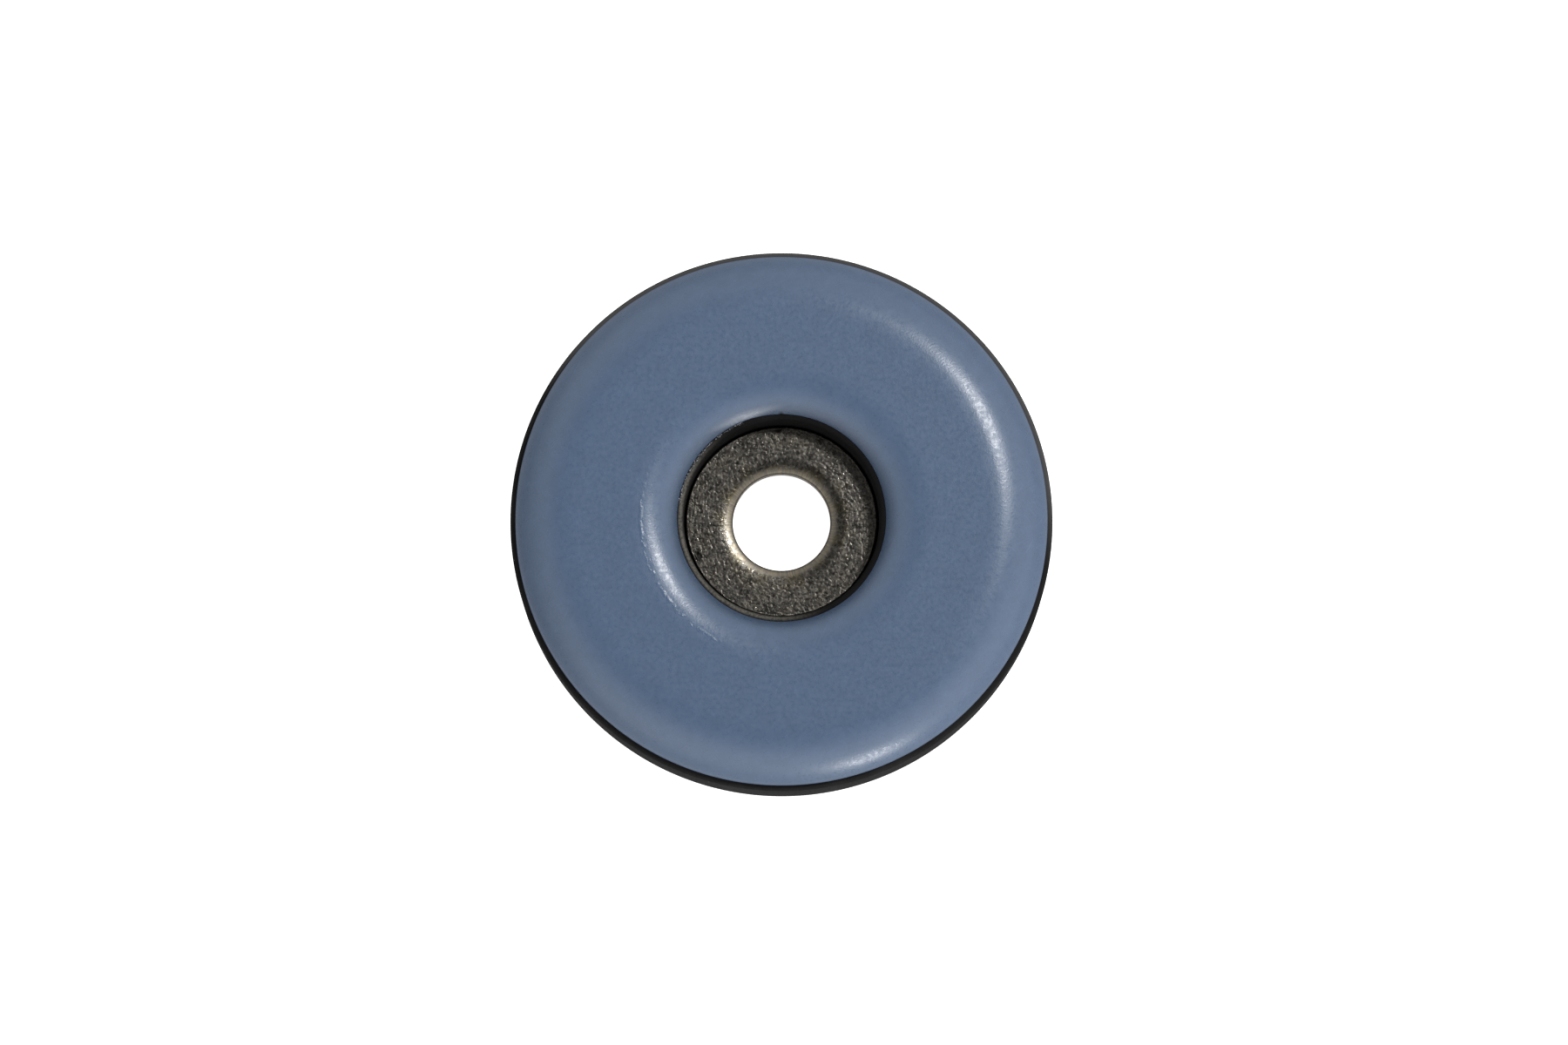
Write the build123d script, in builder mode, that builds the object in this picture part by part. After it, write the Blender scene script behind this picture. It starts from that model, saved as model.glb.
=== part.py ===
from build123d import *
from math import cos, radians, sin
import os

# Screw-on furniture glide, lying on its mounting face with the sliding face up.
# Lengths are in millimetres and angles in degrees. The screw's axis is Z, and the
# mounting face, which goes against the furniture leg, lies on Z = 0.

# Overall size
base_diameter = 25.0
overall_height = 5.0

# Sliding skin: a sheet of even thickness formed over the shoulder and into the mouth.
# Its shoulder falls away in a wide round and turns down in a tighter bend at the edge.
skin_thickness = 0.5
shoulder_round = 2.75
shoulder_slope = 60.0
edge_bend_radius = 0.15
skirt_height = 0.2
mouth_round = 2.3
mouth_trim_angle = 51.5

# Rubber base: a rim that stands proud of the skin, and a recess for the screw head
rim_step = 0.25
rim_land = 0.08
floor_thickness = 1.85
recess_flare = 0.05
lip_width = 0.25
lip_land = 0.03

# Steel washer, with the rolled-over edge that punching leaves round its hole
screw_hole_diameter = 4.5
washer_diameter = 8.8
washer_thickness = 0.8
washer_edge_round = 0.05
hole_roll_width = 0.8
hole_roll_depth = 0.23

# Clearances
washer_clearance = 0.08
floor_hole_clearance = 0.25

# Radii and heights that follow from the sizes above
base_radius = base_diameter / 2
skin_radius = base_radius - rim_step
edge_round = edge_bend_radius + skin_thickness
rim_edge_round = rim_step - rim_land
screw_hole_radius = screw_hole_diameter / 2
floor_hole_radius = screw_hole_radius + floor_hole_clearance
washer_radius = washer_diameter / 2
washer_top = floor_thickness + washer_thickness
pocket_radius = washer_radius + washer_clearance
lip_radius = pocket_radius + recess_flare
mouth_radius = lip_radius + lip_width
lip_edge_round = lip_width - lip_land

# Centres of the three rounds in the skin's section, as (radius, height)
edge_reach = shoulder_round - edge_round
edge_centre = (
    skin_radius - edge_round,
    overall_height - shoulder_round + edge_reach * cos(radians(shoulder_slope)),
)
shoulder_centre = (
    edge_centre[0] - edge_reach * sin(radians(shoulder_slope)),
    overall_height - shoulder_round,
)
mouth_centre = (
    mouth_radius + mouth_round * sin(radians(mouth_trim_angle)),
    overall_height - mouth_round,
)
rim_height = edge_centre[1] - skirt_height


def skin_section_line(depth):
    """Draw the skin's section at a depth below its outer face, from the mouth to the skirt."""
    mouth = CenterArc(mouth_centre, mouth_round - depth, 90 + mouth_trim_angle, -mouth_trim_angle)
    shoulder = CenterArc(shoulder_centre, shoulder_round - depth, 90, -shoulder_slope)
    edge = CenterArc(edge_centre, edge_round - depth, 90 - shoulder_slope, shoulder_slope - 90)
    Line(mouth @ 1, shoulder @ 0)
    skirt = Line(edge @ 1, (skin_radius - depth, rim_height))
    return mouth @ 0, skirt @ 1


with BuildPart() as glide_skin:
    with BuildSketch(Plane.XZ):
        with BuildLine():
            outer_mouth, outer_skirt = skin_section_line(0)
            inner_mouth, inner_skirt = skin_section_line(skin_thickness)
            Line(outer_mouth, inner_mouth)
            Line(outer_skirt, inner_skirt)
        make_face()
    revolve(axis=Axis.Z)

with BuildPart() as rubber_base:
    with BuildSketch(Plane.XZ):
        with BuildLine():
            skin_edge, shelf_corner = skin_section_line(skin_thickness)
            Polyline(
                skin_edge,
                outer_mouth,
                (lip_radius, outer_mouth.Y),
                (pocket_radius, floor_thickness),
                (floor_hole_radius, floor_thickness),
                (floor_hole_radius, 0),
                (base_radius, 0),
                (base_radius, rim_height),
                shelf_corner,
            )
        make_face()
    revolve(axis=Axis.Z)
    fillet(rubber_base.edges().filter_by(GeomType.CIRCLE).group_by(SortBy.RADIUS)[-1], rim_edge_round)
    lip_edges = rubber_base.edges().filter_by_position(Axis.Z, outer_mouth.Y, outer_mouth.Y)
    fillet(lip_edges.sort_by(SortBy.RADIUS)[0], lip_edge_round)

with BuildPart() as washer:
    with BuildSketch(Plane.XZ):
        with BuildLine():
            roll = EllipticalCenterArc(
                (screw_hole_radius + hole_roll_width, washer_top - hole_roll_depth),
                hole_roll_width,
                hole_roll_depth,
                start_angle=90,
                arc_size=90,
            )
            Polyline(
                roll @ 1,
                (screw_hole_radius, floor_thickness),
                (washer_radius, floor_thickness),
                (washer_radius, washer_top),
                roll @ 0,
            )
        make_face()
    revolve(axis=Axis.Z)
    top_edges = washer.edges().filter_by(GeomType.CIRCLE).group_by(Axis.Z)[-1]
    fillet(top_edges.sort_by(SortBy.RADIUS)[-1], washer_edge_round)

os.makedirs("parts", exist_ok=True)
glide_skin.part.label = "glide_skin"
export_step(glide_skin.part, "parts/glide_skin.step")
rubber_base.part.label = "rubber_base"
export_step(rubber_base.part, "parts/rubber_base.step")
washer.part.label = "washer"
export_step(washer.part, "parts/washer.step")
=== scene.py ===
import math

import bmesh
import bpy
from bpy.props import FloatProperty, FloatVectorProperty, IntProperty, PointerProperty
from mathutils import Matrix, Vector


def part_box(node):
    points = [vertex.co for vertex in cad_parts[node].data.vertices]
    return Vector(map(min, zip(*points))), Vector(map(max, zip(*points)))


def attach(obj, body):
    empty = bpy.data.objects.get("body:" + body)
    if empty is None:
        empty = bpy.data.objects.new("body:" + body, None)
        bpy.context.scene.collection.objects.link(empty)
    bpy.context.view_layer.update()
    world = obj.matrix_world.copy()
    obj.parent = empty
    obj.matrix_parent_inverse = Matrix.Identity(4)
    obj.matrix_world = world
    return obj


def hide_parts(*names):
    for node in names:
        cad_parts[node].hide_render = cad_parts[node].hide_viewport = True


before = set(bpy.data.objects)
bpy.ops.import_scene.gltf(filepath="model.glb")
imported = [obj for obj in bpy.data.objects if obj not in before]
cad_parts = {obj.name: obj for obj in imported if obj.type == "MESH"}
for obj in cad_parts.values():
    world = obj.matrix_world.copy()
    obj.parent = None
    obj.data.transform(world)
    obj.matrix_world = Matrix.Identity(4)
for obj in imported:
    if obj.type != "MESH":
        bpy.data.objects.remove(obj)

bl_info = {
    "name": "Screw-on Furniture Glide",
    "version": (1, 0, 0),
    "blender": (4, 5, 0),
    "location": "3D View > Sidebar > Glide",
    "description": "Dresses the frame of a furniture glide with its formed skin, rubber base and washer",
    "category": "Object",
}

MM = 0.001
RIGHT_ANGLE = math.pi / 2

# Fineness of the meshes
TURN_STEPS = 384
OUTER_STEPS = 48
INNER_STEPS = 12
ROLL_STEPS = 20
FACE_STEPS = 48
BURR_STEPS = 64
SEAM_WIDTH = 0.001 * MM
SHARP_EDGE = math.radians(32)

# Fixed seeds
BURR_SEED = 5
GRAIN_SEED = 3.0

# Sides of the part that carry a mark or a painted highlight, in degrees from the X axis
SCUFFED_SIDE = -155
TORN_HIGHLIGHT_SIDE = 110
LIT_LIP_SIDE = -150
LIT_LEDGE_SIDE = 72

# Linear colours of the marks and of the painted highlights
# Painted highlight smeared along the mouth's edge beside the burr
SMEAR_HIGHLIGHT_TINT = (0.32, 0.35, 0.4, 1)
SPECK_TINT = (0.3, 0.3, 0.3, 1)
# Painted highlight on the lit side of the recess's lip
LIP_HIGHLIGHT_TINT = (0.112, 0.105, 0.092, 1)
# Painted highlight on the lit side of the rim's ledge
LEDGE_HIGHLIGHT_TINT = (0.06, 0.059, 0.06, 1)
OLIVE_TINT = (0.17, 0.14, 0.07, 1)
ROLL_TINT = (0.24, 0.208, 0.152, 1)

# Refraction of the two plastics, and how dull the rubber's reflections are
SHEET_IOR = 1.56
RUBBER_IOR = 1.45
RUBBER_SPECULAR = 0.08

# Directions and places on the stage
KEY_WAY = (0.4291, 0.3233, 0.8434)
LOW_WAY = (0.382, -0.922, 0.061)
FRONT_RIGHT = (0.19, -0.982, 0)
LEFT = (-1, 0, 0)
DOME_HEIGHTS = (0.55, 1.05)
FLAG_REACH = (0.7, 1.0)
CAMERA_AIM = (0.116 * MM, 0.29 * MM, 0)
FLOOR_HALF = 1.5
FLOOR_DROP = 0.01 * MM
WHITE = (1, 1, 1, 1)

# Vector Math operations that give a number and not a vector
NUMBER_RESULTS = ("DISTANCE", "DOT_PRODUCT", "LENGTH")

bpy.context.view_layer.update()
skin_low, skin_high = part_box("glide_skin")
base_low, base_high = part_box("rubber_base")
washer_low, washer_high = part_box("washer")


def length(name, description, default):
    """A length that a user can change, in metres."""
    return FloatProperty(name=name, description=description, default=default, unit="LENGTH", precision=5)


def share(name, description, default):
    """A share from 0 to 1."""
    return FloatProperty(name=name, description=description, default=default, min=0, max=1, subtype="FACTOR")


def angle(name, description, degrees):
    """An angle, given in degrees and kept in radians."""
    return FloatProperty(name=name, description=description, default=math.radians(degrees), subtype="ANGLE")


def amount(name, description, default, unit="NONE"):
    """A plain number, with a unit where one fits."""
    return FloatProperty(name=name, description=description, default=default, unit=unit)


def colour(name, description, default):
    """A linear colour."""
    return FloatVectorProperty(
        name=name, description=description, default=default, size=3, min=0, max=1, subtype="COLOR"
    )


class SkinSettings(bpy.types.PropertyGroup):
    """Sizes and finish of the formed sliding skin."""

    radius: length("Radius", "Radius of the skirt", skin_high.x)
    top: length("Top", "Height of the sliding face", skin_high.z)
    skirt_bottom: length("Skirt Bottom", "Height of the skirt's lower edge", skin_low.z)
    thickness: length("Thickness", "Thickness of the sheet", skin_high.z - base_high.z)
    shoulder_round: length("Shoulder Round", "Radius of the wide outer rounding", 2.75 * MM)
    shoulder_slope: angle("Shoulder Slope", "Slope at which the tighter edge bend begins", 60)
    edge_bend: length("Edge Bend", "Inside radius of the bend at the outer edge", 0.15 * MM)
    mouth_round: length("Mouth Round", "Radius of the rounding into the recess", 2.3 * MM)
    mouth_radius: length("Mouth Radius", "Radius of the trimmed edge", 4.78 * MM)
    trim_angle: angle("Trim Angle", "Slope of the skin at the trimmed edge", 51.5)
    onset_round: length("Onset Round", "Radius of the gentle bend where the roundings leave the flat", 7 * MM)
    onset_slope: angle("Onset Slope", "Slope at which the gentle bend ends", 4.5)
    trim_round: length("Trim Round", "Rounding of the trimmed edge", 0.05 * MM)
    tint: colour("Tint", "Colour of the sheet", (0.0677, 0.1055, 0.1755))
    roughness: share("Roughness", "Roughness of the sheet", 0.32)
    glancing_roughness: share("Glancing Roughness", "Roughness added at glancing angles", 0.4)


class BurrSettings(bpy.types.PropertyGroup):
    """Place and size of the ragged flakes that trimming left along part of the mouth's edge."""

    start: angle("Start", "Direction in which the flakes begin", 112)
    sweep: angle("Sweep", "Angle over which the flakes lie", 60)
    count: IntProperty(name="Count", description="Number of flakes", default=150, min=1)
    flake_size: length("Flake Size", "Length of the largest flakes", 0.12 * MM)
    spread: length("Spread", "How far the flakes lie from the edge", 0.04 * MM)
    tint: colour("Tint", "Colour of the torn sheet", (0.38, 0.4, 0.44))
    roughness: share("Roughness", "Roughness of the torn sheet", 0.6)


class RubberSettings(bpy.types.PropertyGroup):
    """Sizes and finish of the rubber base."""

    radius: length("Radius", "Radius of the rim", base_high.x)
    edge_round: length("Edge Round", "Rounding of the rim's two edges", 0.17 * MM)
    floor_hole: length("Floor Hole", "Radius of the hole in the floor", 2.5 * MM)
    pocket_radius: length("Pocket Radius", "Radius of the recess at its floor", 4.48 * MM)
    lip_radius: length("Lip Radius", "Radius of the recess at its lip", 4.53 * MM)
    lip_round: length("Lip Round", "Rounding of the lip", 0.22 * MM)
    tint: colour("Tint", "Colour of the rubber", (0.0108, 0.0103, 0.0105))
    roughness: share("Roughness", "Roughness of the rubber", 0.78)


class WasherSettings(bpy.types.PropertyGroup):
    """Sizes and finish of the punched washer."""

    radius: length("Radius", "Outer radius", washer_high.x)
    top: length("Top", "Height of the upper face", washer_high.z)
    bottom: length("Bottom", "Height of the lower face", washer_low.z)
    hole_radius: length("Hole Radius", "Radius of the screw hole", 2.25 * MM)
    roll_width: length("Roll Width", "Width of the rolled edge round the hole", 0.8 * MM)
    roll_depth: length("Roll Depth", "Depth of the rolled edge round the hole", 0.23 * MM)
    edge_round: length("Edge Round", "Rounding of the upper outer edge", 0.05 * MM)
    grain_size: length("Grain Size", "Width of a grain on the upper face", 0.12 * MM)
    grain_depth: length("Grain Depth", "Height of the grain", 0.035 * MM)
    grain_fade: length("Grain Fade", "Width over which the grain fades out towards the hole", 0.3 * MM)
    tint: colour("Tint", "Colour of the plated steel", (0.176, 0.164, 0.146))
    roughness: share("Roughness", "Roughness of the plated steel", 0.28)


class StageSettings(bpy.types.PropertyGroup):
    """Camera, lights and floor."""

    frame_width: length("Frame Width", "Width that the camera takes in at the floor", 72.87 * MM)
    camera_distance: length("Camera Distance", "Distance of the camera from the part", 360 * MM)
    camera_tilt: angle("Camera Tilt", "Lean of the camera from straight above", 7)
    light_distance: length("Light Distance", "Distance of the two lights", 400 * MM)
    key_width: length("Key Width", "Width of the main light", 28 * MM)
    key_height: length("Key Height", "Height of the main light", 116 * MM)
    key_power: amount("Key Power", "Power of the main light", 0.86, "POWER")
    low_size: length("Low Size", "Diameter of the low light", 102 * MM)
    low_power: amount("Low Power", "Power of the low light", 0.45, "POWER")
    floor_tint: colour("Floor Tint", "Colour of the floor", (0.85, 0.85, 0.85))
    floor_roughness: share("Floor Roughness", "Roughness of the floor", 0.9)
    floor_glow: amount("Floor Glow", "Light that the floor gives back evenly", 1.0)
    horizon: amount("Horizon", "Brightness of the surroundings near the floor", 1.18)
    zenith: amount("Zenith", "Brightness of the surroundings overhead", 0.0)
    ground: amount("Ground", "Brightness of the surroundings from below", 0.6)
    lean: share("Lean", "How much brighter the surroundings are towards the front right", 0.316)
    flag: share("Flag", "How much darker the surroundings are at the left", 0.47)


def arc(centre, radius, start, sweep, steps):
    """Points on an arc of a section, as (radius, height), with angles in radians."""
    turns = (start + sweep * i / steps for i in range(steps + 1))
    return [Vector((centre[0] + radius * math.cos(a), centre[1] + radius * math.sin(a))) for a in turns]


def stretch(start, end, steps):
    """Points along a straight stretch of a section, without its ends."""
    return [Vector(start).lerp(Vector(end), i / steps) for i in range(1, steps)]


def corner(before, at, after, radius, steps=5):
    """Points that round a corner of a section, between the points before and after it."""
    at = Vector(at)
    to_before = (Vector(before) - at).normalized()
    to_after = (Vector(after) - at).normalized()
    half = to_before.angle(to_after) / 2
    centre = at + (to_before + to_after).normalized() * radius / math.sin(half)
    start = at + to_before * radius / math.tan(half) - centre
    end = at + to_after * radius / math.tan(half) - centre
    return [centre + start.lerp(end, i / steps).normalized() * radius for i in range(steps + 1)]


def add(tree, kind, inputs=None, **options):
    """Add a node, set its options, and set or link its inputs."""
    node = tree.nodes.new(kind)
    for name, value in options.items():
        setattr(node, name, value)
    for key, value in (inputs or {}).items():
        if isinstance(value, bpy.types.NodeSocket):
            tree.links.new(value, node.inputs[key])
        else:
            node.inputs[key].default_value = value
    return node


def maths(tree, operation, *values):
    """The result of a Math node."""
    return add(tree, "ShaderNodeMath", dict(enumerate(values)), operation=operation).outputs[0]


def times(tree, product, *factors):
    """The product of some numbers."""
    for factor in factors:
        product = maths(tree, "MULTIPLY", product, factor)
    return product


def total(tree, *weighted):
    """The sum of (value, weight) pairs."""
    result = times(tree, *weighted[0])
    for value, weight in weighted[1:]:
        result = maths(tree, "MULTIPLY_ADD", value, weight, result)
    return result


def vector_maths(tree, operation, *values):
    """The result of a Vector Math node, a vector or a number as the operation has it."""
    node = add(tree, "ShaderNodeVectorMath", dict(enumerate(values)), operation=operation)
    return node.outputs["Value" if operation in NUMBER_RESULTS else "Vector"]


def scaled(tree, vector, factor):
    """A vector times a number."""
    return add(tree, "ShaderNodeVectorMath", {0: vector, "Scale": factor}, operation="SCALE").outputs[0]


def component(tree, vector, axis):
    """The X, Y or Z part of a vector."""
    return add(tree, "ShaderNodeSeparateXYZ", {0: vector}).outputs[axis]


def flat_radius(tree, place):
    """How far a place lies from the Z axis."""
    return vector_maths(tree, "LENGTH", vector_maths(tree, "MULTIPLY", place, (1, 1, 0)))


def toward(tree, place, degrees):
    """How far a place lies from the Z axis along a direction, given as an angle from the X axis."""
    turn = math.radians(degrees)
    return vector_maths(tree, "DOT_PRODUCT", place, (math.cos(turn), math.sin(turn), 0))


def ramp(tree, value, low, high, out_low=0.0, out_high=1.0):
    """Spread a value from low to high over the given output range, smoothly and without overshoot."""
    inputs = {"Value": value, "From Min": low, "From Max": high, "To Min": out_low, "To Max": out_high}
    return add(tree, "ShaderNodeMapRange", inputs, interpolation_type="SMOOTHSTEP").outputs[0]


def band(tree, value, centre, half):
    """A soft band from 0 to 1 round a value."""
    off = maths(tree, "ABSOLUTE", maths(tree, "SUBTRACT", value, centre))
    return ramp(tree, off, 0.0, half, 1.0, 0.0)


def start_tree(name, numbers=(), counts=()):
    """Start a geometry node tree and return it with the sockets of its inputs.

    It takes a geometry, a material, and the named numbers and whole numbers.
    """
    tree = bpy.data.node_groups.new(name, "GeometryNodeTree")
    kinds = {"Geometry": "Geometry", "Material": "Material"}
    kinds.update(dict.fromkeys(numbers, "Float"))
    kinds.update(dict.fromkeys(counts, "Int"))
    for label, kind in kinds.items():
        tree.interface.new_socket(label, in_out="INPUT", socket_type="NodeSocket" + kind)
    tree.interface.new_socket("Geometry", in_out="OUTPUT", socket_type="NodeSocketGeometry")
    return tree, tree.nodes.new("NodeGroupInput").outputs


def end_tree(tree, geometry, material):
    """Close a tree with realised instances, smooth shading and the piece's material."""
    real = add(tree, "GeometryNodeRealizeInstances", {"Geometry": geometry})
    smooth = add(tree, "GeometryNodeSetShadeSmooth", {"Geometry": real.outputs[0]})
    done = add(tree, "GeometryNodeSetMaterial", {"Geometry": smooth.outputs[0], "Material": material})
    add(tree, "NodeGroupOutput", {"Geometry": done.outputs[0]})


def moved(tree, geometry, **ways):
    """A geometry whose points are put at a Position, or shifted by an Offset."""
    return add(tree, "GeometryNodeSetPosition", {"Geometry": geometry, **ways}).outputs[0]


def turned_tree():
    """Turn a section, drawn as points in the XZ plane, round the Z axis into a closed skin of faces."""
    tree, given = start_tree("Turned Section", counts=["Steps"])
    count = add(tree, "GeometryNodeAttributeDomainSize", {"Geometry": given["Geometry"]})
    points = count.outputs["Point Count"]
    rows = maths(tree, "ADD", given["Steps"], 1)
    grid = add(
        tree, "GeometryNodeMeshGrid", {"Size X": 1, "Size Y": 1, "Vertices X": points, "Vertices Y": rows}
    )
    place = add(tree, "GeometryNodeInputPosition").outputs[0]
    along = maths(tree, "ADD", component(tree, place, "X"), 0.5)
    around = maths(tree, "ADD", component(tree, place, "Y"), 0.5)
    index = maths(tree, "ROUND", times(tree, along, maths(tree, "SUBTRACT", points, 1)))
    section = add(
        tree,
        "GeometryNodeSampleIndex",
        {"Geometry": given["Geometry"], "Value": place, "Index": index},
        data_type="FLOAT_VECTOR",
        domain="POINT",
    )
    turned = add(
        tree,
        "ShaderNodeVectorRotate",
        {"Vector": section.outputs[0], "Angle": times(tree, around, math.tau)},
        rotation_type="Z_AXIS",
    )
    shell = moved(tree, grid.outputs["Mesh"], Position=turned.outputs[0])
    closed = add(tree, "GeometryNodeMergeByDistance", {"Geometry": shell, "Distance": SEAM_WIDTH})
    end_tree(tree, closed.outputs[0], given["Material"])
    return tree


def relief_tree():
    """Raise a grain on a piece, along its normals, and leave it smooth inside a clear radius."""
    tree, given = start_tree("Surface Grain", numbers=["Size", "Depth", "Clear Radius", "Fade", "Seed"])
    place = add(tree, "GeometryNodeInputPosition").outputs[0]
    normal = add(tree, "GeometryNodeInputNormal").outputs[0]
    scale = maths(tree, "DIVIDE", 1, given["Size"])
    grain = add(
        tree,
        "ShaderNodeTexNoise",
        {"Vector": place, "W": given["Seed"], "Scale": scale, "Detail": 2},
        noise_dimensions="4D",
    )
    fade_end = maths(tree, "ADD", given["Clear Radius"], given["Fade"])
    fade = ramp(tree, flat_radius(tree, place), given["Clear Radius"], fade_end)
    raised = times(tree, maths(tree, "SUBTRACT", grain.outputs[0], 0.5), given["Depth"], fade)
    grainy = moved(tree, given["Geometry"], Offset=scaled(tree, normal, raised))
    end_tree(tree, grainy, given["Material"])
    return tree


def jitter(tree, low, high, seed):
    """A random vector for each point."""
    node = add(tree, "FunctionNodeRandomValue", {0: low, 1: high, "Seed": seed}, data_type="FLOAT_VECTOR")
    return node.outputs[0]


def torn_flake(tree):
    """A small ball pulled into a ragged form, about one unit across."""
    ball = add(tree, "GeometryNodeMeshIcoSphere", {"Radius": 0.5, "Subdivisions": 2}).outputs["Mesh"]
    ragged = add(tree, "ShaderNodeTexNoise", {"Scale": 2.5, "Detail": 2.0}).outputs["Color"]
    return moved(tree, ball, Offset=vector_maths(tree, "ADD", ragged, (-0.5, -0.5, -0.5)))


def burr_tree():
    """Scatter small flakes of uneven size along an arc round the Z axis."""
    tree, given = start_tree(
        "Trim Burr",
        numbers=["Radius", "Height", "Start", "Sweep", "Flake Size", "Spread"],
        counts=["Count", "Seed"],
    )
    seed = given["Seed"]
    line = {"Radius": given["Radius"], "Start Angle": given["Start"], "Sweep Angle": given["Sweep"]}
    edge = add(tree, "GeometryNodeCurveArc", {"Resolution": BURR_STEPS, **line}, mode="RADIUS")
    spots = add(
        tree,
        "GeometryNodeCurveToPoints",
        {"Curve": edge.outputs["Curve"], "Count": given["Count"]},
        mode="COUNT",
    )
    lift = add(tree, "ShaderNodeCombineXYZ", {"Z": given["Height"]}).outputs[0]
    stray = scaled(tree, jitter(tree, (-1, -1, -0.3), (1, 1, 0.3), seed), given["Spread"])
    placed = moved(tree, spots.outputs["Points"], Offset=vector_maths(tree, "ADD", lift, stray))
    size = jitter(tree, (0.05, 0.05, 0.05), (1, 1, 1), maths(tree, "ADD", seed, 1))
    form = jitter(tree, (0.2, 0.2, 0.2), (1, 0.6, 0.4), maths(tree, "ADD", seed, 2))
    turn = jitter(tree, (0, 0, 0), (math.tau, math.tau, math.tau), maths(tree, "ADD", seed, 3))
    scale = scaled(tree, vector_maths(tree, "MULTIPLY", size, form), given["Flake Size"])
    flakes = add(
        tree,
        "GeometryNodeInstanceOnPoints",
        {"Points": placed, "Instance": torn_flake(tree), "Rotation": turn, "Scale": scale},
    )
    end_tree(tree, flakes.outputs[0], given["Material"])
    return tree


def new_object(name, data):
    """A new object of the scene, at the origin."""
    made = bpy.data.objects.new(name, data)
    bpy.context.scene.collection.objects.link(made)
    return made


def shape_with(piece, tree, values):
    """Give a piece a geometry node tree, with its inputs set by their names in the tree."""
    modifier = piece.modifiers.new(tree.name, "NODES")
    modifier.node_group = tree
    sockets = {s.name: s.identifier for s in tree.interface.items_tree if s.in_out == "INPUT"}
    for name, value in values.items():
        modifier[sockets[name]] = value


def plain_mesh(piece):
    """Turn what the piece's modifiers make into its own mesh, with the faces outward."""
    made = bpy.data.meshes.new_from_object(piece.evaluated_get(bpy.context.evaluated_depsgraph_get()))
    piece.modifiers.clear()
    piece.data = made
    made.name = piece.name
    shell = bmesh.new()
    shell.from_mesh(made)
    bmesh.ops.recalc_face_normals(shell, faces=shell.faces)
    shell.to_mesh(made)
    shell.free()
    return made


def turned_piece(name, section, material, grain=None):
    """Turn a closed section into a finished piece at the origin, with a grain if one is given."""
    outline = bpy.data.meshes.new(name + "_section")
    outline.from_pydata([(p.x, 0, p.y) for p in section + section[:1]], [], [])
    piece = new_object(name, outline)
    shape_with(piece, turned_tree(), {"Steps": TURN_STEPS, "Material": material})
    if grain:
        shape_with(piece, relief_tree(), {**grain, "Material": material})
    plain_mesh(piece).set_sharp_from_angle(angle=SHARP_EDGE)
    return piece


def new_material(name):
    """A material with a Principled shader, and its tree, shader and Object coordinates."""
    material = bpy.data.materials.new(name)
    material.use_nodes = True
    tree = material.node_tree
    tree.nodes.clear()
    shader = add(tree, "ShaderNodeBsdfPrincipled")
    add(tree, "ShaderNodeOutputMaterial", {"Surface": shader.outputs[0]})
    place = add(tree, "ShaderNodeTexCoord").outputs["Object"]
    return material, tree, shader, place


def wire(tree, shader, tinted, rough, relief, strength, depth):
    """Give a shader its colour, its roughness and a fine relief of the given depth."""
    bump = add(tree, "ShaderNodeBump", {"Height": relief, "Strength": strength, "Distance": depth})
    tree.links.new(tinted, shader.inputs["Base Color"])
    tree.links.new(rough, shader.inputs["Roughness"])
    tree.links.new(bump.outputs[0], shader.inputs["Normal"])


def noise(tree, place, size, detail=2.0, distortion=0.0):
    """A noise from 0 to 1 whose features are about the given size."""
    inputs = {"Vector": place, "Scale": 1 / size, "Detail": detail, "Distortion": distortion}
    return add(tree, "ShaderNodeTexNoise", inputs).outputs[0]


def cells(tree, place, size):
    """For cells of about the given size, a random value for each and the distance from its middle."""
    node = add(tree, "ShaderNodeTexVoronoi", {"Vector": place, "Scale": 1 / size})
    value = add(tree, "ShaderNodeSeparateColor", {0: node.outputs["Color"]}).outputs[0]
    return value, node.outputs["Distance"]


def mix(tree, factor, first, second):
    """Mix two colours by a factor."""
    return add(tree, "ShaderNodeMix", {0: factor, 6: first, 7: second}, data_type="RGBA").outputs[2]


def shade(tint, factor):
    """A tint made lighter or darker, with full alpha."""
    return (*[min(1.0, c * factor) for c in tint], 1.0)


def hairlines(tree, place, turn, width, run, low=0.62, high=0.72):
    """Fine scratches along one direction, from 0 to 1."""
    turned = add(
        tree,
        "ShaderNodeMapping",
        {"Vector": place, "Rotation": (0, 0, math.radians(turn)), "Scale": (run, width, run)},
        vector_type="TEXTURE",
    )
    return ramp(tree, noise(tree, turned.outputs[0], 1.0, 1.0), low, high)


def spot(tree, place, centre, size):
    """A small ragged spot round a place on the part, from 0 to 1."""
    ragged = times(tree, noise(tree, place, size, 2), 0.8 * size)
    away = vector_maths(tree, "DISTANCE", place, centre)
    return ramp(tree, maths(tree, "ADD", away, ragged), 0.7 * size, size, 1.0, 0.0)


def burr_material(s):
    """Torn, whitish edge of the sheet."""
    material, tree, shader, place = new_material("torn_sheet")
    tinted = mix(tree, noise(tree, place, 0.1 * MM), shade(s.tint, 0.6), shade(s.tint, 1.4))
    tree.links.new(tinted, shader.inputs["Base Color"])
    shader.inputs["Roughness"].default_value = s.roughness
    return material


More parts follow.
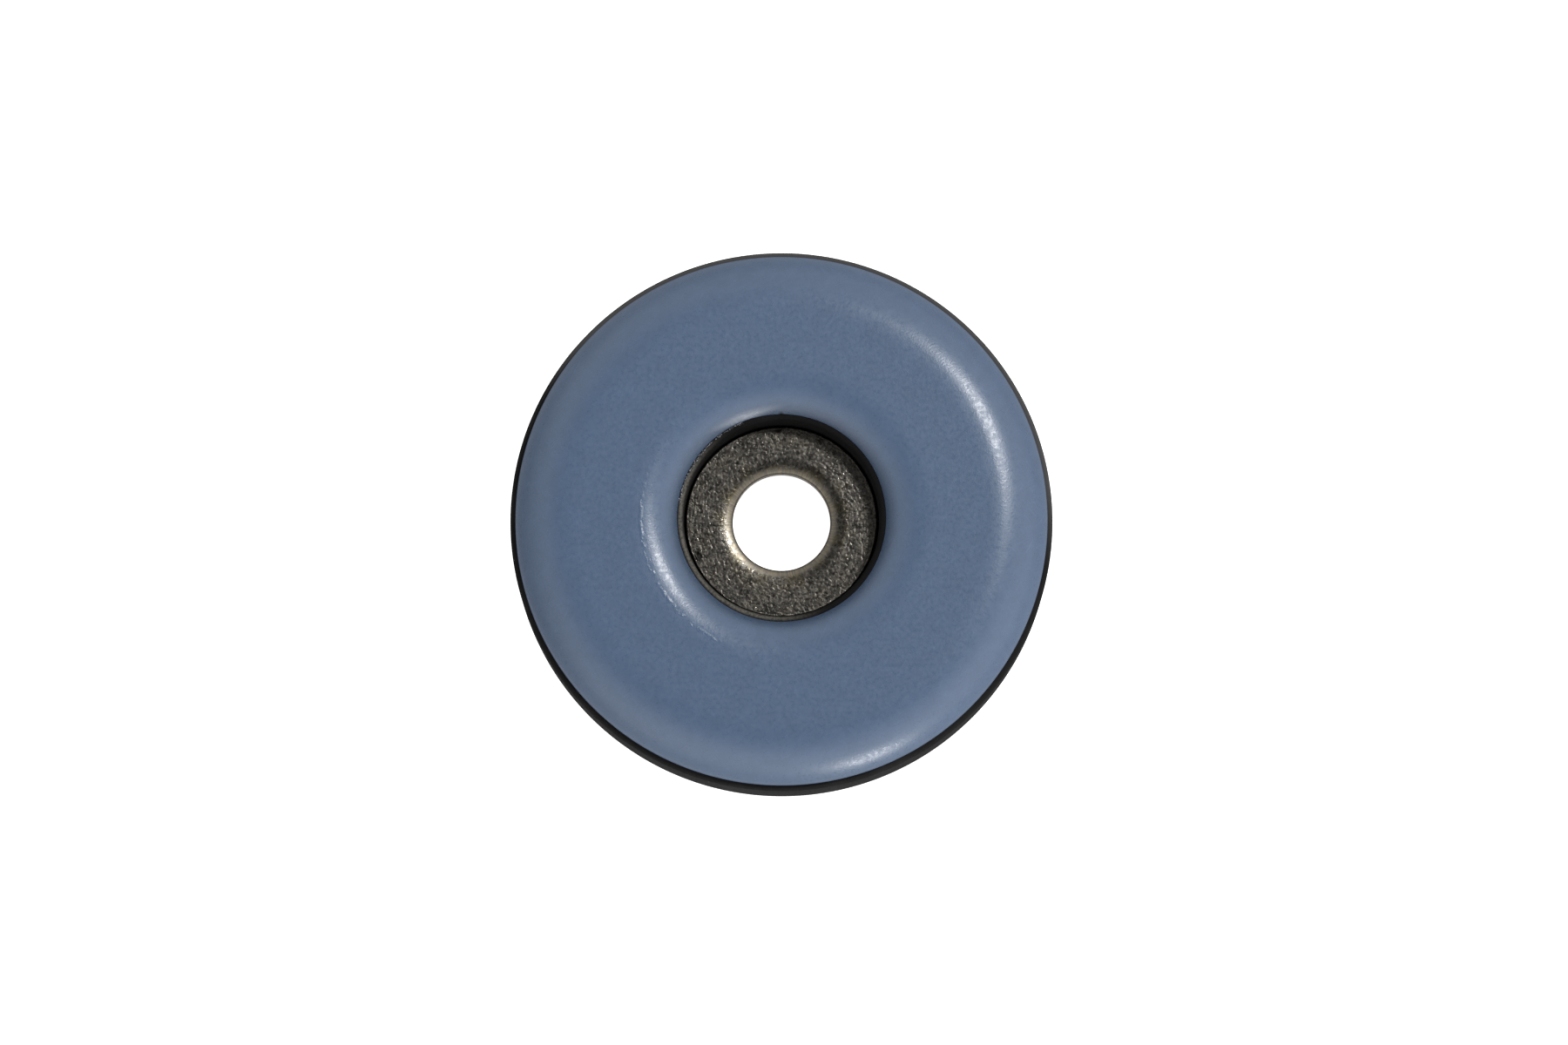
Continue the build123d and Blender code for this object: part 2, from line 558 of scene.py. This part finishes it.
def sheet_colour(tree, place, fine, s):
    """Colour of the sheet, with a faint mottle, short scuffs in two directions and longer scratches."""
    mottle = total(tree, (noise(tree, place, 0.6 * MM, 4), 0.5), (fine, 0.5))
    scuffs = maths(
        tree,
        "MAXIMUM",
        hairlines(tree, place, 28, 0.06 * MM, 0.7 * MM),
        hairlines(tree, place, -52, 0.06 * MM, 0.5 * MM),
    )
    scratches = hairlines(tree, place, 64, 0.05 * MM, 1.6 * MM, 0.7, 0.76)
    tinted = mix(tree, ramp(tree, mottle, 0.3, 0.7), shade(s.tint, 0.93), shade(s.tint, 1.07))
    tinted = mix(tree, times(tree, scuffs, 0.3), tinted, shade(s.tint, 1.3))
    return mix(tree, times(tree, scratches, 0.25), tinted, shade(s.tint, 1.8))


def mouth_marks(tree, place, radius, tinted, s):
    """Darken the sheet towards its trimmed edge, and add a painted highlight smeared beside the burr, and the
    nick.
    """
    near_edge = ramp(tree, radius, s.mouth_radius, s.mouth_radius + 0.7 * MM, 0.55, 0.0)
    tinted = mix(tree, near_edge, tinted, shade(s.tint, 0.3))
    # The pale smear on this side of the mouth is a painted highlight, beside the torn edge.
    on_side = ramp(tree, toward(tree, place, TORN_HIGHLIGHT_SIDE), 4.72 * MM, 4.95 * MM, 0.0, 0.3)
    painted_smear_highlight = times(tree, band(tree, radius, s.mouth_radius + 0.15 * MM, 0.35 * MM), on_side)
    tinted = mix(tree, painted_smear_highlight, tinted, SMEAR_HIGHLIGHT_TINT)
    nick = spot(tree, place, (0.02 * MM, s.mouth_radius, s.top - 0.85 * MM), 0.4 * MM)
    return mix(tree, nick, tinted, shade(s.tint, 0.06))


def scuffed_streak(tree, place, radius):
    """A patchy, roughened streak along one side of the mouth's rounding, from 0 to 1."""
    streak = band(tree, radius, 6.46 * MM, 0.14 * MM)
    patchy = ramp(tree, noise(tree, place, 0.3 * MM, 3), 0.4, 0.6)
    on_side = ramp(tree, toward(tree, place, SCUFFED_SIDE), 4.2 * MM, 5.8 * MM)
    return times(tree, streak, patchy, on_side)


def skin_material(s):
    """Blue-grey fluoropolymer sheet: satin, faintly mottled, with scuffs that show in the highlights."""
    material, tree, shader, place = new_material("skin_sheet")
    radius = flat_radius(tree, place)
    fine = noise(tree, place, 0.045 * MM, 2)
    tinted = mouth_marks(tree, place, radius, sheet_colour(tree, place, fine, s), s)
    uneven = noise(tree, place, 0.2 * MM, 4)
    rough = ramp(tree, uneven, 0.3, 0.7, s.roughness - 0.06, s.roughness + 0.06)
    facing = add(tree, "ShaderNodeLayerWeight", {"Blend": 0.5}).outputs["Facing"]
    rough = maths(tree, "MULTIPLY_ADD", ramp(tree, facing, 0.55, 0.85), s.glancing_roughness, rough)
    grain = noise(tree, place, 0.095 * MM, 3)
    relief = total(tree, (grain, 0.42), (fine, 0.16), (scuffed_streak(tree, place, radius), 1.1))
    wire(tree, shader, tinted, rough, relief, 1.0, 0.012 * MM)
    shader.inputs["IOR"].default_value = SHEET_IOR
    return material


def rubber_colour(tree, place, s):
    """Colour of the rubber, with faint dust and a few pale specks."""
    dust = ramp(tree, noise(tree, place, 1.5 * MM, 4), 0.45, 0.75)
    chance, away = cells(tree, place, 1.1 * MM)
    near = ramp(tree, away, 0.03, 0.06, 0.8, 0.0)
    specks = times(tree, near, maths(tree, "GREATER_THAN", chance, 0.8))
    tinted = mix(tree, dust, shade(s.tint, 1.0), shade(s.tint, 1.5))
    return mix(tree, specks, tinted, SPECK_TINT)


def recess_marks(tree, place, radius, grain, tinted, s):
    """Paint shade on the rubber in the recess, and a painted highlight on the lit side of its lip."""
    lip_middle = s.lip_radius + 0.12 * MM
    # Painted shade: the rubber in and around the recess is darkened.
    recess_shade = ramp(tree, radius, lip_middle, 2 * lip_middle, 0.6, 0.0)
    tinted = mix(tree, recess_shade, tinted, shade(s.tint, 0.2))
    # A pale band on the lit side of the lip: a painted highlight.
    on_side = ramp(tree, toward(tree, place, LIT_LIP_SIDE), 0.0, 0.8 * lip_middle)
    patchy = ramp(tree, grain, 0.3, 0.6, 0.4, 1.0)
    lip_highlight = times(tree, band(tree, radius, lip_middle, 0.17 * MM), on_side, patchy)
    return mix(tree, lip_highlight, tinted, LIP_HIGHLIGHT_TINT)


def ledge_highlight(tree, place, radius, tinted, skin):
    """Add a painted highlight on the far side of the rim's ledge, outside the skin, where the main light
    falls on it.
    """
    height = component(tree, place, "Z")
    on_top = ramp(tree, height, skin.skirt_bottom - 0.2 * MM, skin.skirt_bottom - 0.08 * MM)
    outside = ramp(tree, radius, skin.radius - 0.1 * MM, skin.radius)
    on_side = ramp(tree, toward(tree, place, LIT_LEDGE_SIDE), 1.5 * MM, 6 * MM)
    return mix(tree, times(tree, on_top, outside, on_side), tinted, LEDGE_HIGHLIGHT_TINT)


def rubber_material(s, skin):
    """Black moulded rubber with a fine matt grain and a few specks of dust, painted shade in the recess, and
    painted highlights on one side of its lip and of its rim's ledge.
    """
    material, tree, shader, place = new_material("black_rubber")
    radius = flat_radius(tree, place)
    grain = noise(tree, place, 0.12 * MM, 3)
    tinted = recess_marks(tree, place, radius, grain, rubber_colour(tree, place, s), s)
    tinted = ledge_highlight(tree, place, radius, tinted, skin)
    rough = ramp(tree, grain, 0.3, 0.7, s.roughness - 0.06, s.roughness + 0.08)
    wire(tree, shader, tinted, rough, grain, 0.6, 0.02 * MM)
    shader.inputs["IOR"].default_value = RUBBER_IOR
    shader.inputs["Specular IOR Level"].default_value = RUBBER_SPECULAR
    return material


def face_colour(tree, place, radius, crystals, chance, s):
    """Colour of the washer's face: dull crystals, glints, darker patches and olive stains near the hole."""
    patches = noise(tree, place, 0.8 * MM, 3)
    tinted = mix(tree, crystals, shade(s.tint, 0.4), shade(s.tint, 1.65))
    glints = times(tree, ramp(tree, chance, 0.7, 1.0), crystals)
    tinted = mix(tree, glints, tinted, shade(s.tint, 3.4))
    tinted = mix(tree, ramp(tree, patches, 0.35, 0.65, 0.35, 0.0), tinted, shade(s.tint, 0.45))
    near_hole = ramp(tree, radius, s.hole_radius, s.hole_radius + s.roll_width + 0.3 * MM, 0.8, 0.1)
    olive = times(tree, ramp(tree, patches, 0.45, 0.65), near_hole)
    return mix(tree, olive, tinted, OLIVE_TINT)


def punched_streaks(tree, place, radius):
    """Fine streaks across the rolled edge of the hole, from 0 to 1."""
    turn = maths(tree, "ARCTAN2", component(tree, place, "Y"), component(tree, place, "X"))
    across = times(tree, turn, 40)
    along = times(tree, radius, 0.5 / MM)
    lines = add(tree, "ShaderNodeCombineXYZ", {"X": across, "Y": along})
    return noise(tree, lines.outputs[0], 1.0, 3)


def washer_marks(tree, place, radius, tinted, s):
    """Paint shade in a ring where the rolled edge meets the face, add a blotch and a notch, and paint a
    highlight along the rim.
    """
    # Painted shade in a ring where the rolled edge meets the face.
    painted_foot_shade = band(tree, radius, s.hole_radius + 0.68 * s.roll_width, 0.4 * s.roll_width)
    tinted = mix(tree, times(tree, painted_foot_shade, 0.5), tinted, shade(s.tint, 0.3))
    blotch = spot(tree, place, (-3.84 * MM, -1.6 * MM, s.top), 0.45 * MM)
    notch = spot(tree, place, (-0.16 * MM, 4.25 * MM, s.top), 0.34 * MM)
    tinted = mix(tree, maths(tree, "MAXIMUM", blotch, notch), tinted, shade(s.tint, 0.2))
    # A bright line just inside the outer edge: a painted highlight.
    rim = band(tree, radius, s.radius - 0.07 * MM, 0.05 * MM)
    return mix(tree, times(tree, rim, 0.6), tinted, shade(s.tint, 2.0))


def washer_material(s):
    """Dull plated steel: grainy on the face, streaked and brighter on the rolled edge of the hole."""
    material, tree, shader, place = new_material("plated_steel")
    radius = flat_radius(tree, place)
    chance, _ = cells(tree, place, s.grain_size)
    crystals = ramp(tree, noise(tree, place, 1.4 * s.grain_size, 3, 1.0), 0.3, 0.7)
    streaks = punched_streaks(tree, place, radius)
    bright_end = s.hole_radius + 0.22 * s.roll_width
    dull_start = s.hole_radius + 0.5 * s.roll_width
    on_roll = ramp(tree, radius, bright_end, dull_start, 1.0, 0.0)
    face = face_colour(tree, place, radius, crystals, chance, s)
    roll = mix(tree, ramp(tree, streaks, 0.3, 0.7), shade(s.tint, 0.8), ROLL_TINT)
    tinted = washer_marks(tree, place, radius, mix(tree, on_roll, face, roll), s)
    rough = ramp(tree, chance, 0.0, 1.0, s.roughness + 0.06, s.roughness - 0.06)
    rough = maths(tree, "MULTIPLY_ADD", on_roll, 0.13, rough)
    pitted = total(tree, (crystals, 0.6), (noise(tree, place, 0.05 * MM, 2), 0.4))
    wire(tree, shader, tinted, rough, mix(tree, on_roll, pitted, streaks), 0.5, 0.015 * MM)
    shader.inputs["Metallic"].default_value = 1.0
    return material


def rounding(s, middle, radius, slope, side, depth, steps):
    """Points of a rounding that leaves the flat face in a gentle bend and ends at a slope, and its centre.

    The middle is the radius at which the rounding's centre lies, and the side is 1 outwards and -1 inwards.
    """
    ease = s.onset_round - radius
    centre = Vector((middle, s.top - radius - ease * (1 - math.cos(s.onset_slope))))
    gentle_centre = centre - ease * Vector((side * math.sin(s.onset_slope), math.cos(s.onset_slope)))
    gentle = arc(gentle_centre, s.onset_round - depth, RIGHT_ANGLE, -side * s.onset_slope, steps // 4)
    start = RIGHT_ANGLE - side * s.onset_slope
    main = arc(centre, radius - depth, start, side * (s.onset_slope - slope), steps)
    return gentle + main[1:], centre


def skin_line(s, depth, steps):
    """Points of the skin's section at a depth below its outer face, from the mouth to the skirt."""
    edge_round = s.edge_bend + s.thickness
    reach = s.shoulder_round - edge_round
    mouth_middle = s.mouth_radius + s.mouth_round * math.sin(s.trim_angle)
    shoulder_middle = s.radius - edge_round - reach * math.sin(s.shoulder_slope)
    mouth, _ = rounding(s, mouth_middle, s.mouth_round, s.trim_angle, -1, depth, steps)
    mouth.reverse()
    shoulder, centre = rounding(s, shoulder_middle, s.shoulder_round, s.shoulder_slope, 1, depth, steps)
    edge_centre = centre + reach * Vector((math.sin(s.shoulder_slope), math.cos(s.shoulder_slope)))
    edge_start = RIGHT_ANGLE - s.shoulder_slope
    edge = arc(edge_centre, edge_round - depth, edge_start, -edge_start, steps // 4)
    skirt = Vector((s.radius - depth, s.skirt_bottom))
    return mouth + stretch(mouth[-1], shoulder[0], steps // 2) + shoulder + edge[1:] + [skirt]


def skin_section(s):
    """Closed section of the skin, from the trimmed edge over the face to the skirt and back underneath."""
    outer = skin_line(s, 0, OUTER_STEPS)
    inner = skin_line(s, s.thickness, INNER_STEPS)
    # The rounded edge takes the place of the outer line's first two points.
    trimmed = corner(inner[0], outer[0], outer[3], s.trim_round)
    return trimmed + outer[2:] + inner[::-1]


def rubber_section(s, skin, washer):
    """Closed section of the rubber base, which fills the skin and forms the recess."""
    under_skin = skin_line(skin, skin.thickness, INNER_STEPS)
    shelf = under_skin[-1]
    mouth_edge = skin_line(skin, 0, INNER_STEPS)[0]
    lip = (s.lip_radius, mouth_edge.y)
    pocket = (s.pocket_radius, washer.bottom)
    rim = (s.radius, skin.skirt_bottom)
    back = (s.radius, base_low.z)
    hole_end = (s.floor_hole, base_low.z)
    rim_round = corner(shelf, rim, back, s.edge_round)
    back_round = corner(rim, back, hole_end, s.edge_round)
    lip_round = corner(pocket, lip, mouth_edge, s.lip_round)
    hole = [Vector(hole_end), Vector((s.floor_hole, washer.bottom)), Vector(pocket)]
    return under_skin + rim_round + back_round + hole + lip_round + [mouth_edge]


def washer_section(s):
    """Closed section of the washer, with the rolled edge round its hole."""
    roll_end = s.hole_radius + s.roll_width
    roll_foot = s.top - s.roll_depth
    turns = [RIGHT_ANGLE * i / ROLL_STEPS for i in range(ROLL_STEPS + 1)]
    roll = [
        Vector((roll_end - s.roll_width * math.cos(a), roll_foot + s.roll_depth * math.sin(a))) for a in turns
    ]
    rim = (s.radius, s.top)
    rim_round = corner(roll[-1], rim, (s.radius, s.bottom), s.edge_round)
    face = stretch(roll[-1], rim_round[0], FACE_STEPS)
    below = [Vector((s.radius, s.bottom)), Vector((s.hole_radius, s.bottom))]
    return roll + face + rim_round + below


class GLIDE_OT_skin(bpy.types.Operator):
    """Make the formed sliding skin"""

    bl_idname = "glide.make_skin"
    bl_label = "Sliding Skin"

    def execute(self, context):
        settings = context.scene.glide_skin
        piece = turned_piece("formed_skin", skin_section(settings), skin_material(settings))
        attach(piece, "root")
        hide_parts("glide_skin")
        return {"FINISHED"}


class GLIDE_OT_burr(bpy.types.Operator):
    """Make the ragged flakes along part of the mouth's edge"""

    bl_idname = "glide.make_burr"
    bl_label = "Trim Burr"

    def execute(self, context):
        settings = context.scene.glide_burr
        edge = skin_line(context.scene.glide_skin, 0, INNER_STEPS)[0]
        piece = new_object("trim_burr", bpy.data.meshes.new("trim_burr"))
        values = {
            "Radius": edge.x - settings.spread,
            "Height": edge.y,
            "Start": settings.start,
            "Sweep": settings.sweep,
            "Count": settings.count,
            "Flake Size": settings.flake_size,
            "Spread": settings.spread,
            "Seed": BURR_SEED,
            "Material": burr_material(settings),
        }
        shape_with(piece, burr_tree(), values)
        plain_mesh(piece)
        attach(piece, "root")
        return {"FINISHED"}


class GLIDE_OT_rubber(bpy.types.Operator):
    """Make the rubber base"""

    bl_idname = "glide.make_rubber"
    bl_label = "Rubber Base"

    def execute(self, context):
        scene = context.scene
        section = rubber_section(scene.glide_rubber, scene.glide_skin, scene.glide_washer)
        material = rubber_material(scene.glide_rubber, scene.glide_skin)
        piece = turned_piece("moulded_base", section, material)
        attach(piece, "root")
        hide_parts("rubber_base")
        return {"FINISHED"}


class GLIDE_OT_washer(bpy.types.Operator):
    """Make the punched washer"""

    bl_idname = "glide.make_washer"
    bl_label = "Washer"

    def execute(self, context):
        settings = context.scene.glide_washer
        grain = {
            "Size": settings.grain_size,
            "Depth": settings.grain_depth,
            "Clear Radius": settings.hole_radius + 0.5 * settings.roll_width,
            "Fade": settings.grain_fade,
            "Seed": GRAIN_SEED,
        }
        piece = turned_piece("punched_washer", washer_section(settings), washer_material(settings), grain)
        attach(piece, "root")
        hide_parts("washer")
        return {"FINISHED"}


def lay_floor(s):
    """A plain pale floor that glows evenly and throws nothing back on the part."""
    corners = [(-1, -1), (1, -1), (1, 1), (-1, 1)]
    mesh = bpy.data.meshes.new("floor")
    mesh.from_pydata([(x * FLOOR_HALF, y * FLOOR_HALF, 0) for x, y in corners], [], [(0, 1, 2, 3)])
    material, _, shader, _ = new_material("pale_floor")
    shader.inputs["Base Color"].default_value = (*s.floor_tint, 1)
    shader.inputs["Roughness"].default_value = s.floor_roughness
    shader.inputs["Emission Color"].default_value = WHITE
    shader.inputs["Emission Strength"].default_value = s.floor_glow
    mesh.materials.append(material)
    floor = new_object("floor", mesh)
    floor.location.z = -FLOOR_DROP
    floor.visible_diffuse = False
    floor.visible_glossy = False
    floor.visible_shadow = False


def light_surroundings(scene, s):
    """Surroundings that are dark overhead, brighter towards the front right and darker at the left."""
    world = bpy.data.worlds.new("studio")
    scene.world = world
    world.use_nodes = True
    tree = world.node_tree
    way = add(tree, "ShaderNodeTexCoord").outputs["Generated"]
    height = component(tree, way, "Z")
    above = ramp(tree, height, *DOME_HEIGHTS, s.horizon, s.zenith)
    below = maths(tree, "LESS_THAN", height, 0)
    even = add(tree, "ShaderNodeMix", {0: below, 2: above, 3: s.ground}).outputs[0]
    front_right = vector_maths(tree, "DOT_PRODUCT", way, FRONT_RIGHT)
    leaning = maths(tree, "MULTIPLY_ADD", front_right, s.lean, 1)
    shaded = ramp(tree, vector_maths(tree, "DOT_PRODUCT", way, LEFT), *FLAG_REACH, 1.0, 1 - s.flag)
    background = tree.nodes["Background"]
    background.inputs["Color"].default_value = WHITE
    tree.links.new(times(tree, even, leaning, shaded), background.inputs["Strength"])


def add_light(name, direction, distance, size, power):
    """A soft light of a given width and height that shines on the part from a direction."""
    data = bpy.data.lights.new(name, "AREA")
    data.shape = "ELLIPSE"
    data.size, data.size_y = size
    data.energy = power
    light = new_object(name, data)
    way = Vector(direction).normalized()
    light.location = way * distance
    light.rotation_mode = "QUATERNION"
    light.rotation_quaternion = way.to_track_quat("Z", "Y")


def set_camera(scene, s):
    """A camera that looks down on the part as the photograph does."""
    tilt = s.camera_tilt
    back = Vector((0, -math.sin(tilt), math.cos(tilt)))
    data = bpy.data.cameras.new("camera")
    data.lens = data.sensor_width * s.camera_distance / s.frame_width
    data.clip_start = 10 * MM
    data.clip_end = 10
    camera = new_object("camera", data)
    camera.location = Vector(CAMERA_AIM) + back * s.camera_distance
    camera.rotation_euler = (tilt, 0, 0)
    scene.camera = camera


class GLIDE_OT_stage(bpy.types.Operator):
    """Lay the floor and set up the lights and the camera"""

    bl_idname = "glide.make_stage"
    bl_label = "Stage"

    def execute(self, context):
        settings = context.scene.glide_stage
        key_size = (settings.key_width, settings.key_height)
        low_size = (settings.low_size, settings.low_size)
        lay_floor(settings)
        light_surroundings(context.scene, settings)
        add_light("key", KEY_WAY, settings.light_distance, key_size, settings.key_power)
        add_light("low", LOW_WAY, settings.light_distance, low_size, settings.low_power)
        set_camera(context.scene, settings)
        context.scene.view_settings.view_transform = "Standard"
        return {"FINISHED"}


class GLIDE_PT_panel(bpy.types.Panel):
    """Lists the pieces of the glide and their settings"""

    bl_idname = "GLIDE_PT_panel"
    bl_label = "Furniture Glide"
    bl_space_type = "VIEW_3D"
    bl_region_type = "UI"
    bl_category = "Glide"

    def draw(self, context):
        for operator, group in STEPS:
            box = self.layout.box()
            box.operator(operator.bl_idname)
            settings = getattr(context.scene, group)
            for name in settings.__annotations__:
                box.prop(settings, name)


STEPS = (
    (GLIDE_OT_skin, "glide_skin"),
    (GLIDE_OT_burr, "glide_burr"),
    (GLIDE_OT_rubber, "glide_rubber"),
    (GLIDE_OT_washer, "glide_washer"),
    (GLIDE_OT_stage, "glide_stage"),
)
SETTINGS = {
    "glide_skin": SkinSettings,
    "glide_burr": BurrSettings,
    "glide_rubber": RubberSettings,
    "glide_washer": WasherSettings,
    "glide_stage": StageSettings,
}


def register():
    """Add the settings, the operators and the panel."""
    for name, group in SETTINGS.items():
        bpy.utils.register_class(group)
        setattr(bpy.types.Scene, name, PointerProperty(type=group))
    for operator, _ in STEPS:
        bpy.utils.register_class(operator)
    bpy.utils.register_class(GLIDE_PT_panel)


def unregister():
    """Take away what register added, in the opposite order."""
    bpy.utils.unregister_class(GLIDE_PT_panel)
    for operator, _ in reversed(STEPS):
        bpy.utils.unregister_class(operator)
    for name, group in reversed(SETTINGS.items()):
        delattr(bpy.types.Scene, name)
        bpy.utils.unregister_class(group)


def main():
    """Make every piece and the stage."""
    register()
    bpy.ops.glide.make_skin()
    bpy.ops.glide.make_burr()
    bpy.ops.glide.make_rubber()
    bpy.ops.glide.make_washer()
    bpy.ops.glide.make_stage()
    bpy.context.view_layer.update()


if __name__ == "__main__":
    main()
